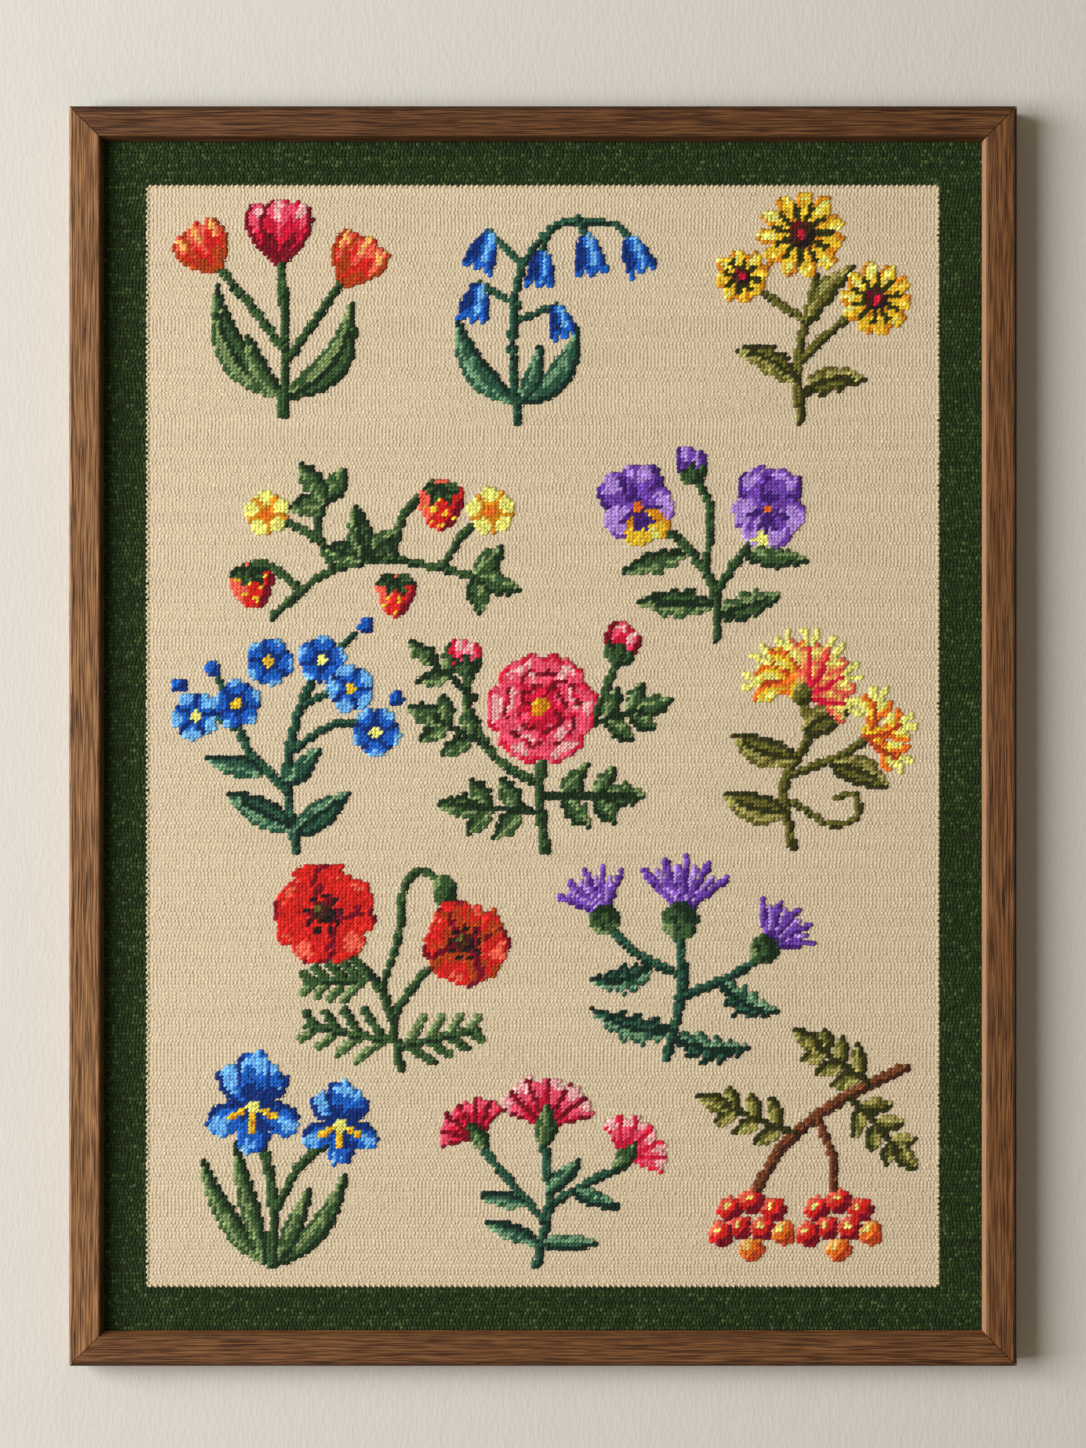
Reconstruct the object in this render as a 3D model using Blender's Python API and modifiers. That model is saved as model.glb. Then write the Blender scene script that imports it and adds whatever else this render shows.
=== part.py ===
"""A framed needlepoint sampler, made to hang on a wall.

The worked canvas is one flat stretched sheet over a plain board. Both sit in the rebate of
four mitred lengths of wood moulding. Metres, +Z up, the stitched face looks along -Y, and the
origin is on the back of the top rail, at its middle, where it meets the wall.
"""

import math

import bmesh
import bpy
from mathutils import Matrix, Vector

COLLECTION = "framed_needlepoint_sampler"

# The larger stitches along the edge of the cream field are ten to the inch, 2.54 mm each, and the
# sight opening is measured in them
EDGE_STITCH = 0.00254
EDGE_STITCHES_WIDE = 161
EDGE_STITCHES_HIGH = 218
SIGHT_W = EDGE_STITCHES_WIDE * EDGE_STITCH
SIGHT_H = EDGE_STITCHES_HIGH * EDGE_STITCH

# The moulding's section: its width and depth, and its place from front to back
RAIL_W = 0.0155
RAIL_D = 0.0200
LIP_D = 0.0075
INNER_SLOPE = 0.0016
OUTER_ROUND = 0.0014
INNER_ROUND = 0.0005
ROUND_STEPS = 5
REBATE_W = 0.0045

# Clear space between touching pieces, and at each mitre
GAP = 0.0003

CLOTH_T = 0.0022
BOARD_T = 0.0030

# Depths below are measured from the front of the frame, and the wall plane is y = 0
FRONT_Y = -RAIL_D
CLOTH_Y = FRONT_Y + LIP_D + GAP + CLOTH_T / 2
BOARD_Y = CLOTH_Y + CLOTH_T / 2 + GAP + BOARD_T / 2

FRAME_W = SIGHT_W + 2 * RAIL_W
FRAME_H = SIGHT_H + 2 * RAIL_W
# The rails' back faces are narrower than their fronts by the rebate
BACK_FACE_W = RAIL_W - REBATE_W
CENTRE_Z = BACK_FACE_W / 2 - FRAME_H / 2

REBATE_CLEAR = 0.0003
FILL_W = SIGHT_W + 2 * (REBATE_W - REBATE_CLEAR)
FILL_H = SIGHT_H + 2 * (REBATE_W - REBATE_CLEAR)
BOARD_EDGE_ROUND = 0.0004
CLOTH_EDGE_ROUND = 0.0007
EDGE_SEGMENTS = 3

MERGE = 0.00001

WALNUT = (0.235, 0.125, 0.062)
CREAM_WOOL = (0.640, 0.520, 0.350)
HARDBOARD = (0.300, 0.190, 0.105)


def clear_scene():
    for item in list(bpy.data.objects):
        bpy.data.objects.remove(item, do_unlink=True)


def new_collection(name):
    collection = bpy.data.collections.new(name)
    bpy.context.scene.collection.children.link(collection)
    return collection


def finish(name, colour, roughness):
    """A plain Principled finish for one sub-part."""
    material = bpy.data.materials.new(name)
    material.use_nodes = True
    shader = material.node_tree.nodes["Principled BSDF"]
    shader.inputs["Base Color"].default_value = (*colour, 1.0)
    shader.inputs["Roughness"].default_value = roughness
    shader.inputs["Metallic"].default_value = 0.0
    return material


def arc(centre, radius, start, end, steps):
    """Points on a quarter round of the moulding's section, both ends included."""
    turn = (end - start) / steps
    angles = [start + turn * i for i in range(steps + 1)]
    return [
        (centre[0] + radius * math.cos(a), centre[1] + radius * math.sin(a))
        for a in angles
    ]


def moulding_section():
    """The moulding cut across: x runs from its outer side to the sight edge, y from front to wall."""
    top_of_slope = RAIL_W - INNER_SLOPE
    slope_tilt = math.atan(INNER_SLOPE / LIP_D)
    outer = arc((OUTER_ROUND, FRONT_Y + OUTER_ROUND), OUTER_ROUND,
                math.pi, 1.5 * math.pi, ROUND_STEPS)
    inner = arc((top_of_slope - INNER_ROUND, FRONT_Y + INNER_ROUND), INNER_ROUND,
                1.5 * math.pi, 2 * math.pi - slope_tilt, ROUND_STEPS)
    lip_back = FRONT_Y + LIP_D
    rebate_side = RAIL_W - REBATE_W
    rest = [(RAIL_W, lip_back), (rebate_side, lip_back), (rebate_side, 0.0), (0.0, 0.0)]
    return outer + inner + rest


def extruded_section(points, length):
    """A filled outline pushed out to a length, as a mesh along its own Z."""
    curve = bpy.data.curves.new("section", "CURVE")
    curve.dimensions = "2D"
    curve.fill_mode = "BOTH"
    curve.extrude = length / 2
    spline = curve.splines.new("POLY")
    spline.points.add(len(points) - 1)
    for point, (x, y) in zip(spline.points, points):
        point.co = (x, y, 0.0, 1.0)
    spline.use_cyclic_u = True
    holder = bpy.data.objects.new("section", curve)
    bpy.context.scene.collection.objects.link(holder)
    bpy.context.view_layer.update()
    evaluated = holder.evaluated_get(bpy.context.evaluated_depsgraph_get())
    mesh = bpy.data.meshes.new_from_object(evaluated)
    bpy.data.objects.remove(holder, do_unlink=True)
    return mesh


def cut_and_cap(shape, point, normal):
    """Saws a mesh at a plane, keeps the side behind the normal and closes the cut."""
    everything = shape.verts[:] + shape.edges[:] + shape.faces[:]
    sawn = bmesh.ops.bisect_plane(
        shape, geom=everything, plane_co=point, plane_no=normal, clear_outer=True, dist=MERGE
    )
    rim = [item for item in sawn["geom_cut"] if isinstance(item, bmesh.types.BMEdge)]
    bmesh.ops.holes_fill(shape, edges=rim, sides=0)


def make_rail(collection, name, length, across, turn):
    """One length of moulding, mitred at both ends, and turned about the frame's middle to its side.

    across is how far the frame measures from this rail's outer side to the opposite one.
    """
    mesh = extruded_section(moulding_section(), length)
    shape = bmesh.new()
    shape.from_mesh(mesh)
    bmesh.ops.remove_doubles(shape, verts=shape.verts[:], dist=MERGE)
    # The section's x becomes the way in from the outer edge, here downwards, and the length lies along X
    lay_down = Matrix(((0, 0, 1, 0), (0, 1, 0, 0), (-1, 0, 0, 0), (0, 0, 0, 1)))
    bmesh.ops.transform(shape, matrix=lay_down, verts=shape.verts[:])
    half = length / 2 - GAP * math.sqrt(0.5)
    for side in (1, -1):
        cut_and_cap(shape, Vector((side * half, 0, 0)), Vector((side, 0, -1)).normalized())
    bmesh.ops.recalc_face_normals(shape, faces=shape.faces[:])
    shape.to_mesh(mesh)
    shape.free()
    mesh.name = name
    rail = bpy.data.objects.new(name, mesh)
    mesh.transform(Matrix.Translation((0, 0, across / 2)))
    rail.rotation_euler = (0, turn, 0)
    rail.location = (0, 0, CENTRE_Z)
    mesh.shade_smooth()
    mesh.set_sharp_from_angle(angle=math.radians(35))
    mesh.materials.append(finish(name, WALNUT, 0.55))
    collection.objects.link(rail)
    return rail


def make_panel(collection, name, thickness, y, edge_round, material):
    """A flat sheet or board that fills the rebate, with its edges a little rounded."""
    bpy.ops.mesh.primitive_cube_add(size=1.0, location=(0, y, CENTRE_Z))
    panel = bpy.context.active_object
    panel.name = name
    panel.data.name = name
    panel.data.transform(Matrix.Diagonal((FILL_W, thickness, FILL_H, 1.0)))
    bevel = panel.modifiers.new("edge round", "BEVEL")
    bevel.width = edge_round
    bevel.segments = EDGE_SEGMENTS
    panel.data.materials.append(material)
    for other in panel.users_collection:
        other.objects.unlink(panel)
    collection.objects.link(panel)
    return panel


def build():
    clear_scene()
    collection = new_collection(COLLECTION)
    quarter = math.pi / 2
    make_rail(collection, "rail_top", FRAME_W, FRAME_H, 0)
    make_rail(collection, "rail_right", FRAME_H, FRAME_W, quarter)
    make_rail(collection, "rail_bottom", FRAME_W, FRAME_H, 2 * quarter)
    make_rail(collection, "rail_left", FRAME_H, FRAME_W, 3 * quarter)
    make_panel(collection, "needlepoint", CLOTH_T, CLOTH_Y, CLOTH_EDGE_ROUND,
               finish("needlepoint", CREAM_WOOL, 0.95))
    make_panel(collection, "back_board", BOARD_T, BOARD_Y, BOARD_EDGE_ROUND,
               finish("back_board", HARDBOARD, 0.80))


build()
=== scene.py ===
# %% [markdown]
# # A framed needlepoint sampler
# Needlepoint is canvas covered all over with wool stitches. This one shows thirteen flower sprigs on a
# cream ground inside a dark green border. It is stretched over a board in a plain wood frame on a wall.
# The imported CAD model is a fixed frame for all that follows: four rails, the cloth as a flat sheet, and
# the board. The rails and the board keep their solids here and get finishes. The flat cloth is replaced
# by a canvas with real stitches.

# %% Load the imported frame
import math

import bpy
import numpy as np
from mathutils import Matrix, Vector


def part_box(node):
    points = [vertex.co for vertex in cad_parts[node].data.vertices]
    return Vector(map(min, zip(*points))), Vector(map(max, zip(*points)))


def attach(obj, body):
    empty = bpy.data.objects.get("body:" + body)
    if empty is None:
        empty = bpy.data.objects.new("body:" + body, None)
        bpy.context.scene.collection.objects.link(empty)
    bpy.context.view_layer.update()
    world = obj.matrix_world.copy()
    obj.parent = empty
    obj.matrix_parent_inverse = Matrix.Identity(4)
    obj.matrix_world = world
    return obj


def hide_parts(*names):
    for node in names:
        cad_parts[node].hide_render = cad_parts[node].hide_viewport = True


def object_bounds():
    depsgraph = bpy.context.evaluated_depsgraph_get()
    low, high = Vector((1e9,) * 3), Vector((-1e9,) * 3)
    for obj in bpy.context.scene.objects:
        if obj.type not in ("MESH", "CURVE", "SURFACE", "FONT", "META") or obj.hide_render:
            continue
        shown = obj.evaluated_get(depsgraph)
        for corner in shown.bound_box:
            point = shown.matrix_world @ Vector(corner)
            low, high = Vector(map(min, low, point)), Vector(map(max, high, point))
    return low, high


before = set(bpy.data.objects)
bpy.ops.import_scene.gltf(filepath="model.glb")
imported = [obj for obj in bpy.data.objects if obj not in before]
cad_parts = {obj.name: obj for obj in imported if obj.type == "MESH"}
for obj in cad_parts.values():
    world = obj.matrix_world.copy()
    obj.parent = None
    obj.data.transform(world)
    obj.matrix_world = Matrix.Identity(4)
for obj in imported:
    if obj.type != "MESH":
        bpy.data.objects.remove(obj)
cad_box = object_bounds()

print("CAD nodes:", ", ".join(sorted(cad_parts)))
print("CAD box:", [[round(v, 4) for v in corner] for corner in cad_box])

# %% [markdown]
# ## The count of the canvas
# Fifteen threads to the inch make a stitch 1.69 mm. The sight opening of the frame is 242 stitches wide
# and 327 high, and the border is 12 stitches. Counting threads is how a stitcher places a motif, so the
# whole design lives in one array with a yarn number for each stitch.
# The sprigs are drawn in tenths of an inch, a handier unit, so each unit is one and a half threads.

# %% Count the threads
INCH = 0.0254
STITCH = INCH / 15
WIDE, HIGH, BORDER = 242, 327, 12
UNIT = 1.5
CLOTH_LOW, CLOTH_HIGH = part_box("needlepoint")
LEFT = -WIDE * STITCH / 2
BOTTOM = (CLOTH_LOW.z + CLOTH_HIGH.z) / 2 - HIGH * STITCH / 2
print("opening", round(WIDE * STITCH * 1000), "by", round(HIGH * STITCH * 1000), "mm")

# %% [markdown]
# ## The wool
# A shaded flower takes three or four yarns of one family, dark to light. The values are the yarns' looks
# in daylight, 0 to 255, and become linear light when they go on the mesh.

# %% Lay out the yarns
YARNS = {
    "cream": (204, 186, 156),
    "border": (39, 57, 20),
    "forest": (30, 50, 28), "leaf": (62, 91, 51), "sage": (126, 147, 94),
    "moss": (54, 54, 20), "olive": (106, 102, 40), "lichen": (166, 158, 88),
    "pine": (22, 48, 38), "fern": (47, 89, 67), "mint": (112, 152, 116),
    "gold": (206, 138, 24), "yellow": (240, 190, 48), "primrose": (250, 224, 124),
    "rust": (176, 66, 24), "orange": (226, 118, 34), "apricot": (244, 174, 96),
    "wine": (124, 14, 34), "crimson": (204, 24, 60), "rose": (234, 84, 112), "blush": (248, 172, 172),
    "scarlet": (208, 38, 32), "coral": (238, 100, 78),
    "navy": (18, 50, 122), "royal": (30, 98, 190), "sky": (112, 176, 226),
    "plum": (70, 34, 118), "violet": (116, 70, 172), "lilac": (178, 142, 212),
    "bark": (72, 36, 24), "chestnut": (124, 70, 38), "ink": (38, 26, 26),
}
YARN_NUMBER = {name: number for number, name in enumerate(YARNS)}
# Families, dark to light
GREENS = ("forest", "leaf", "sage")
OLIVES = ("moss", "olive", "lichen")
BLUE_GREENS = ("pine", "fern", "mint")
BLUES = ("navy", "royal", "sky")
PURPLES = ("plum", "violet", "lilac")
GOLDS = ("gold", "yellow", "primrose")
PINKS = ("wine", "crimson", "rose", "blush")
REDS = ("wine", "scarlet", "coral")

chart = np.full((HIGH, WIDE), YARN_NUMBER["border"])
chart[BORDER:-BORDER, BORDER:-BORDER] = YARN_NUMBER["cream"]
sprig_at = np.zeros((HIGH, WIDE), int)
column, row = np.meshgrid(np.arange(WIDE) + 0.5, np.arange(HIGH) + 0.5)
print(len(YARNS), "yarns")

# %% [markdown]
# ## A pencil for counted stitches
# Real charts are drawn on squared paper. Here each leaf or petal is a rule that says how far a stitch lies
# along it and across it, and so which yarn of the family it takes. A rule works at any turn and size, so a
# sprig can lean without being redrawn, and no picture is needed.
# Every shape is shaded as stitchers do it: a dark edge on one side, then lighter yarns in short streaks.

# %% A pencil for counted stitches
# No sprig reaches further than this from its foot, in stitches
REACH = 46 * UNIT


def scatter(count):
    """The same odd number from 0 to 1 for the same count, so that streaks look hand-placed."""
    return (np.sin(count * 12.9898 + 4.1) * 43758.5453) % 1.0


def towards(angle):
    """A step of one stitch in a direction, in degrees."""
    return np.array([math.cos(math.radians(angle)), math.sin(math.radians(angle))])


def smooth_line(points, steps=72):
    """A smooth curve through the points."""
    p = np.array(points, float)
    if len(p) == 2:
        return p[0] + (p[1] - p[0]) * np.linspace(0, 1, steps)[:, None]
    p = np.vstack([2 * p[0] - p[1], p, 2 * p[-1] - p[-2]])
    t = np.linspace(0, 1, steps // (len(p) - 3))[:, None]
    spans = []
    for a, b, c, d in zip(p, p[1:], p[2:], p[3:]):
        spans.append(b + 0.5 * t * (c - a + t * (2 * a - 5 * b + 4 * c - d + t * (3 * (b - c) + d - a))))
    return np.vstack(spans)


class Sprig:
    """Draws shapes in a sprig's own units: 0, 0 is the foot of its stem and v runs up it."""

    def __init__(self, number, x, y, turn):
        self.number = number
        x, y = UNIT * x, UNIT * y
        low_x, high_x = max(0, int(x - REACH)), min(WIDE, int(x + REACH))
        low_y, high_y = max(0, int(y - REACH)), min(HIGH, int(y + REACH))
        self.window = (slice(low_y, high_y), slice(low_x, high_x))
        a = math.radians(turn)
        dx, dy = (column[self.window] - x) / UNIT, (row[self.window] - y) / UNIT
        self.u = math.cos(a) * dx + math.sin(a) * dy
        self.v = math.cos(a) * dy - math.sin(a) * dx

    def stitch(self, where, yarn):
        where = where & (chart[self.window] != YARN_NUMBER["border"])
        chart[self.window][where] = YARN_NUMBER[yarn]
        sprig_at[self.window][where] = self.number

    def shade(self, where, tone, yarns):
        """Fills a shape with two to four yarns, dark to light, by a tone from 0 to 1."""
        level = np.floor(np.clip(tone, 0, 0.999) * len(yarns))
        for number, yarn in enumerate(yarns):
            self.stitch(where & (level == number), yarn)

    def stem(self, points, width=1.2, yarns=GREENS[:2], taper=1.0):
        line = smooth_line(points)
        du, dv = self.u[..., None] - line[:, 0], self.v[..., None] - line[:, 1]
        gap = np.hypot(du, dv)
        near = gap.argmin(-1)[..., None]
        gap = np.take_along_axis(gap, near, -1)[..., 0]
        side = np.take_along_axis(du - dv, near, -1)[..., 0]
        along = near[..., 0] / len(line)
        knots = 0.12 * scatter(np.floor(along * 9))
        where = gap < 0.5 * width * (1 + (taper - 1) * along)
        self.shade(where, 0.5 - 0.55 * side / width + knots, yarns)

    def stems(self, yarns, *lines):
        """Stems in the two darker yarns of a family. Each line is a width and its points."""
        for width, *points in lines:
            self.stem(points, width, yarns[:2])

    def along(self, root, ahead):
        """How far each stitch lies along a direction from a root, and to its left."""
        du, dv = self.u - root[0], self.v - root[1]
        return du * ahead[0] + dv * ahead[1], dv * ahead[0] - du * ahead[1]

    def leaf(self, root, tip, width, yarns=GREENS, bend=0.0, teeth=0, depth=0.4):
        """A pointed leaf with a dark lower edge and midrib, and light dashes on its upper half."""
        reach = np.subtract(tip, root)
        long = np.hypot(*reach)
        s, w = self.along(root, reach / long)
        s = s / long
        w = w - bend * long * 4 * s * (1 - s)
        t = s.clip(0, 1)
        half = width / 2 * np.sin(math.pi * t**0.8) ** 0.85
        if teeth:
            half = half * (1 - depth * ((teeth * t + 0.5 * (w > 0)) % 1))
        where = (s > 0) & (s < 1) & (np.abs(w) <= half + 0.1)
        dash = scatter(np.floor(t * long / 1.7) + 5 * np.round(w))
        tone = np.where(w > 0.06 * width, 1.0, 0.72) - 0.34 * dash
        tone = np.where((w > half - 0.5) & (half > 1.4), 0.5, tone)
        tone = np.where(w < 0.75 - half, 0.1, tone)
        if width > 4.7:
            tone = np.where((np.abs(w) < 0.5) & (t < 0.8), 0.1, tone)
        self.shade(where, tone, yarns)

    def leaves(self, yarns, *blades, **shape):
        """Leaves of one family. Each is a width, a bend, a root and a tip."""
        for width, bend, root, tip in blades:
            self.leaf(root, tip, width, yarns, bend, **shape)

    def oval(self, at, across, high, turn=0.0):
        """How far out each stitch is in an oval, 1 on its edge, and its two directions."""
        x, y = self.along(at, towards(turn))
        return np.hypot(x / across, y / high), x / across, y / high

    def disc(self, at, across, high=None, turn=0.0, yarns=GREENS, light=(-0.5, 0.5)):
        out, x, y = self.oval(at, across, high or across, turn)
        self.shade(out <= 1, 0.6 + 0.55 * (x * light[0] + y * light[1]) - 0.25 * out, yarns)

    def dot(self, at, across, yarn, high=None):
        """One stitch, or a few, of a single yarn."""
        self.stitch(self.oval(at, across, high or across)[0] <= 1, yarn)

    def petal(self, centre, angle, reach, width, yarns, side=1, notch=0.0, wave=0.0, streaks=0.34, rim=0.2):
        """One petal from a flower's centre: a dark foot and edge, and light streaks out to its tip."""
        s, w = self.along(centre, towards(angle))
        s = s / reach
        t = s.clip(0, 1)
        half = width / 2 * np.sin(math.pi * (0.08 + 0.84 * t**1.35)) ** 0.7
        end = 1 - notch * np.exp(-((w / (0.2 * width)) ** 2)) - wave * scatter(np.round(w / 1.6) + angle)
        where = (s > 0) & (s < end) & (np.abs(w) <= half)
        streak = scatter(np.round(w / 1.1) + angle)
        tone = 0.18 + 1.05 * t * (1 - 0.45 * np.abs(w) / (half + 0.3)) - streaks * streak
        tone = np.where(s > end - 0.85 / reach, tone - rim, tone)
        tone = np.where(half - side * w < 0.85, 0.05, tone)
        self.shade(where, tone, yarns)


# %% [markdown]
# ## Flower parts that come back
# Some parts recur in a sprig: bells, berries, leaflets on a rib. Each is a small function in terms of the
# pencil's own shapes, so that all of them keep the same hand.

# %% Flower parts that come back
def tulip(s, at, turn, yarns, size=1.0):
    """A cup of three petals seen from the side."""
    for lean, width, side in ((24, 6.0, 1), (-24, 6.0, -1), (0, 7.0, 1)):
        s.petal(at, turn + lean, 11.5 * size, width * size, yarns, side=side)


def bell(s, at, turn, size):
    """A hanging bell with a wavy rim."""
    t, w = s.along(at, towards(turn))
    t = t / (7.6 * size)
    half = size * (0.9 + 1.9 * np.sin(t.clip(0, 1) * 1.9) ** 0.8)
    rim = 0.92 + 0.08 * np.cos(w / size * 2.6)
    where = (t > 0) & (t < rim) & (np.abs(w) < half)
    tone = 0.95 - 0.5 * np.abs(w - 0.7) / size
    tone = np.where((half - np.abs(w) < 0.6) & (w < 0), 0.1, tone)
    tone = np.where(t > rim - 0.13 / size, 0.45, tone)
    s.shade(where, tone, BLUES)


def eye_flower(s, at, yarns, heart, edge, r=1.95, turn=90):
    """A small flower of five round petals with dark lines between them and an eye."""
    for k in range(5):
        way = towards(turn + 72 * k)
        s.disc(at + 1.28 * r * way, r, yarns=yarns, light=0.75 * way)
    for k in range(5):
        s.stem([at, at + 1.9 * r * towards(turn + 36 + 72 * k)], 0.8, (edge,))
    s.disc(at, 1.05, yarns=(heart,))


def rib(root, tip):
    """A rib's two ends, and the steps ahead of it and to its left."""
    root, tip = np.array(root, float), np.array(tip, float)
    ahead = (tip - root) / np.hypot(*(tip - root))
    return root, tip, ahead, np.array([-ahead[1], ahead[0]])


def leaflets(s, root, tip, yarns=GREENS, pairs=2, size=1.0, width=4.2, teeth=3):
    """Toothed leaflets in pairs along a rib, with one at its end."""
    root, tip, ahead, aside = rib(root, tip)
    for k in range(pairs):
        at = root + (tip - root) * (k + 0.7) / (pairs + 0.2)
        for hand in (-1, 1):
            end = at + (0.62 * ahead + hand * 0.8 * aside) * (7.2 - 0.8 * k) * size
            s.leaf(at, end, width * size, yarns, teeth=teeth)
    s.leaf(tip - ahead * 1.5, tip + ahead * 6.6 * size, 1.15 * width * size, yarns, teeth=teeth)
    s.stem([root, tip], 1.0, yarns[:1])


def feather(s, root, tip, width):
    """A finely cut leaf: thin shoots on both sides of a rib."""
    root, tip, ahead, aside = rib(root, tip)
    for t in (0.12, 0.38, 0.64, 0.9):
        at = root + (tip - root) * t
        for hand in (-1, 1):
            end = at + (0.7 * ahead + hand * 0.75 * aside) * width * (0.68 - 0.4 * t)
            s.stem([at, end], 1.35, GREENS[:2] if hand < 0 else GREENS[1:])
    s.stem([root, tip], 1.2)


def berry(s, at, yarns):
    s.disc(at, 2.15, yarns=yarns, light=(-0.7, 0.7))
    s.dot(np.add(at, (-0.6, 0.7)), 0.62, "primrose")


def bud(s, at, turn, yarns, size=1.0):
    """A closed flower in its green cup."""
    s.petal(at, turn + 10, 7.0 * size, 4.4 * size, yarns)
    s.petal(at, turn - 12, 6.2 * size, 3.8 * size, yarns, side=-1)
    for lean in (-34, 34, 0):
        s.leaf(at, at + 4.1 * size * towards(turn + lean), 2.0 * size, GREENS[:2])


# %% [markdown]
# ## The flowers with tall heads
# Five sprigs rise on one main stem: tulips, bluebells, coneflowers, irises and pinks. The stems and leaves
# are worked first and the flowers over them, as a stitcher fills the front shapes last.

# %% Tall sprigs
def tulips(s):
    s.leaves(GREENS, (5.6, 0.16, (0, 0), (-12, 21)), (5.4, -0.18, (0, 0), (12.5, 18)),
             (3.8, 0.12, (0, 0), (-6.5, 12)))
    s.stems(GREENS, (1.6, (0, -3), (0.3, 12), (-0.5, 26)), (1.3, (0, 6), (5, 13), (11, 22)),
            (1.3, (0, 9), (-6, 17), (-12, 24)))
    tulip(s, (-0.5, 25), 92, PINKS)
    for at, turn, size in (((11, 21), 60, 0.85), ((-12, 23.5), 122, 0.82)):
        tulip(s, at, turn, ("rust", "scarlet", "coral", "apricot"), size)


def bluebells(s):
    s.leaves(BLUE_GREENS, (4.4, 0.14, (0, -1), (-11, 15)), (4.4, -0.16, (0, -1), (11, 13)),
             (3.2, -0.1, (0, -1), (4, 10)))
    s.stem([(0, -4), (-1, 12), (1, 24), (8, 32), (18, 32)], 1.5, BLUE_GREENS[:2], 0.75)
    hung = (((0, 17), (-7, 21), 258, 0.95), ((1, 24), (-5, 30.5), 250, 1), ((6, 31), (4.5, 27), 266, 0.9),
            ((11, 33), (12.5, 30), 280, 1), ((18, 32), (20.5, 29.5), 292, 0.95),
            ((-0.5, 14), (7, 17), 286, 0.85))
    for root, tip, turn, size in hung:
        s.stems(BLUE_GREENS, (1.0, root, tip))
        bell(s, tip, turn, size)


def coneflower(s, at, count, reach, width, heart, start):
    """A ring of petals with dark lines between them, round a dark heart."""
    for k in range(count):
        s.petal(at, start + 360 * k / count, reach, width, GOLDS, wave=0.12)
    du, dv = s.u - at[0], s.v - at[1]
    out, angle = np.hypot(du, dv), np.degrees(np.arctan2(dv, du))
    step = 360 / count
    off = np.abs((angle - start) % step - step / 2)
    s.stitch((out < 0.66 * reach) & (np.radians(off) * out < 0.5), "moss")
    s.disc(at, heart, yarns=("ink", "bark", "wine"))
    s.dot(at, 0.8, "crimson")


def coneflowers(s):
    s.stems(OLIVES, (1.5, (0, -3), (-1, 10), (1, 22), (-2, 29)), (1.3, (-0.5, 8), (6, 15), (11, 19)),
            (1.2, (0.3, 15), (-7, 19), (-11, 22)))
    s.leaves(OLIVES, (5.4, -0.1, (-1, 4), (-13, 9)), (5.4, 0.12, (0, 2), (12, 5)), teeth=4)
    s.leaves(OLIVES, (4.4, 0.1, (0.5, 15), (8.5, 26)), teeth=3)
    for head in (((-2, 31), 11, 8.4, 3.2, 2.5, 90), ((12.5, 20), 10, 7.0, 3.1, 2.1, 70),
                 ((-12.5, 22.5), 8, 5.2, 2.9, 1.6, 60)):
        coneflower(s, *head)


def iris(s, at, size=1.0):
    for angle, long, wide in ((128, 9.2, 5.4), (52, 9.2, 5.4), (90, 10.6, 6.2)):
        side = 1 if angle >= 90 else -1
        s.petal(at, angle, long * size, wide * size, (*BLUES, "sky"), side=side, wave=0.14, streaks=0.5)
    for angle, side in ((205, -1), (-25, 1), (270, 1)):
        s.petal(at, angle, 9.2 * size, 5.8 * size, BLUES, side=side, wave=0.1)
        s.stem([at, at + 4.6 * size * towards(angle)], 1.25, GOLDS[:2])
    s.disc(at, 1.2, yarns=("primrose",))


def irises(s):
    s.leaves(GREENS, (3.6, 0.08, (-1, -3), (-13, 17)), (3.6, -0.1, (1, -3), (13.5, 14)),
             (3.2, 0.02, (-1, -3), (-7, 20)), (3.2, 0, (1, -3), (7, 11)))
    s.stems(GREENS, (1.6, (0, -3), (0, 10), (-2, 20)), (1.3, (0, 6), (5, 15), (11, 20)))
    iris(s, (-3.5, 26))
    iris(s, (12.5, 22.5), 0.82)


def pink(s, at, turn, size, yarns):
    """A fringed fan of petals in a long green cup."""
    x, y = s.along(at, towards(turn))
    out, angle = np.hypot(x, y) / size, np.degrees(np.arctan2(y, x))
    fringe = 9.4 - 1.9 * scatter(np.floor((angle + 200) / 11))
    fan = (out > 2) & (out < fringe) & (np.abs(angle) < 72)
    line = np.abs((angle + 12) % 24 - 12) * math.pi / 180 * out * size
    tone = 0.1 + 0.1 * out - 0.25 * scatter(np.floor((angle + 200) / 8))
    s.shade(fan, np.where(line < 0.42, 0.1, tone), yarns)
    s.leaf(at - 3.2 * size * towards(turn), at + 4.4 * size * towards(turn), 3.6 * size, GREENS)


def pinks(s):
    s.stems(BLUE_GREENS, (1.5, (0, -4), (1, 8), (-1, 18)), (1.3, (0.5, 4), (-6, 10), (-12, 16)),
            (1.3, (1, 7), (8, 12), (13, 15)))
    s.leaves(BLUE_GREENS, (2.8, 0, (0, 0), (-11, 3)), (2.8, 0, (0.3, 0), (11, 1)),
             (2.8, 0, (0.5, 9), (6, 16)), (2.8, 0, (-3, 7), (-12, 7.5)), (2.8, 0, (5, 10), (14, 8)))
    pink(s, (-1, 21), 92, 1.05, PINKS)
    pink(s, (-13, 18), 128, 0.8, PINKS[:3])
    pink(s, (14, 17), 56, 0.86, PINKS[1:])


# %% [markdown]
# ## The spreading sprigs
# Four sprigs are broader than high: strawberries, pansies, forget-me-nots and a rose. Their leaves are cut
# or toothed, so the outline steps in and out as in real needlepoint.

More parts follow.
